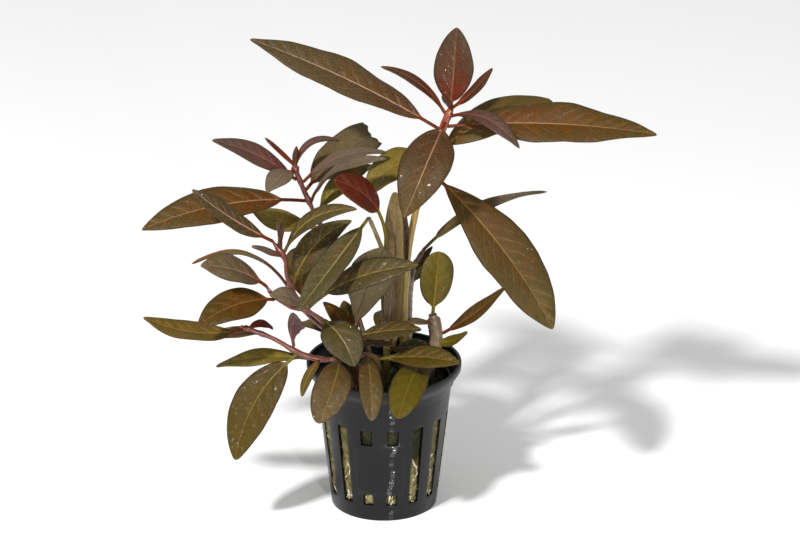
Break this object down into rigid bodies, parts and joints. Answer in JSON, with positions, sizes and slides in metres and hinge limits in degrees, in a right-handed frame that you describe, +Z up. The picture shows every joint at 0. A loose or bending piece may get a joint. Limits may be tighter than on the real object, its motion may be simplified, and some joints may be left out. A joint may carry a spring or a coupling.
{
  "type": "potted ludwigia glandulosa",
  "caption": "Branching aquarium plant with long pointed red, copper and olive leaves, rooted in a rock wool plug in a black slotted pot.",
  "frame": {"origin": "middle of the pot's underside, on the surface that the pot stands on", "axes": "+Z up along the pot's axis, -Y towards the plant's front, +X to the right as seen from the front"},
  "size_m": [0.1762, 0.0856, 0.1721],
  "materials": {
    "leaf_bronze": "satin",
    "leaf_copper": "satin",
    "leaf_dark": "satin",
    "leaf_golden": "satin",
    "leaf_grey": "satin",
    "leaf_maroon": "satin",
    "leaf_moss": "satin",
    "leaf_olive": "satin",
    "leaf_purple": "satin",
    "leaf_tan": "satin",
    "plastic": "gloss",
    "stem_pink": "satin",
    "stem_red": "satin",
    "stem_yellow": "satin",
    "wool": "matte"
  },
  "bodies": {
    "root": {"back_long_leaf": "leaf_grey", "back_right_stem": "stem_pink", "centre_back_leaf": "leaf_olive", "centre_dark_leaf": "leaf_dark", "centre_large_leaf": "leaf_grey", "centre_pale_leaf": "leaf_grey", "centre_red_leaf": "leaf_copper", "centre_stem": "stem_yellow", "centre_upright_leaf": "leaf_tan", "crown_leaf": "leaf_maroon", "crown_left_leaf": "leaf_maroon", "crown_purple_leaf": "leaf_purple", "crown_right_leaf": "leaf_maroon", "cut_right_leaf": "leaf_olive", "drooping_leaf": "leaf_bronze", "front_brown_leaf": "leaf_olive", "front_leaf": "leaf_copper", "front_stem": "stem_pink", "front_tan_leaf": "leaf_tan", "hanging_leaf": "leaf_golden", "inner_left_leaf": "leaf_moss", "long_left_leaf": "leaf_bronze", "long_right_leaf": "leaf_copper", "main_back_leaf": "leaf_olive", "main_low_back_leaf": "leaf_moss", "main_stem": "stem_yellow", "mid_arched_leaf": "leaf_dark", "mid_back_leaf": "leaf_olive", "mid_dark_leaf": "leaf_dark", "mid_left_stem": "stem_red", "mid_low_back_leaf": "leaf_olive", "mid_olive_leaf": "leaf_bronze", "mid_thin_leaf": "leaf_moss", "pot": "plastic", "right_green_leaf": "leaf_moss", "right_long_leaf": "leaf_bronze", "right_stem": "stem_pink", "rim_front_leaf": "leaf_tan", "rim_left_leaf": "leaf_tan", "rim_right_leaf": "leaf_golden", "rim_yellow_leaf": "leaf_moss", "rock_wool": "wool", "side_bronze_leaf": "leaf_copper", "side_left_stem": "stem_red", "side_pale_leaf": "leaf_grey", "side_veined_leaf": "leaf_olive", "trailing_curled_leaf": "leaf_purple", "trailing_stem": "stem_red", "trailing_thin_leaf": "leaf_moss", "trailing_tip_leaf": "leaf_olive", "upper_arched_leaf": "leaf_grey", "upper_back_leaf": "leaf_olive", "upper_cut_leaf": "leaf_grey", "upper_green_leaf": "leaf_moss", "upper_left_stem": "stem_red", "upper_long_leaf": "leaf_copper", "upper_purple_leaf": "leaf_purple", "upper_silver_leaf": "leaf_grey", "upper_under_leaf": "leaf_purple", "upper_yellow_leaf": "leaf_moss"}
  },
  "joints": []
}
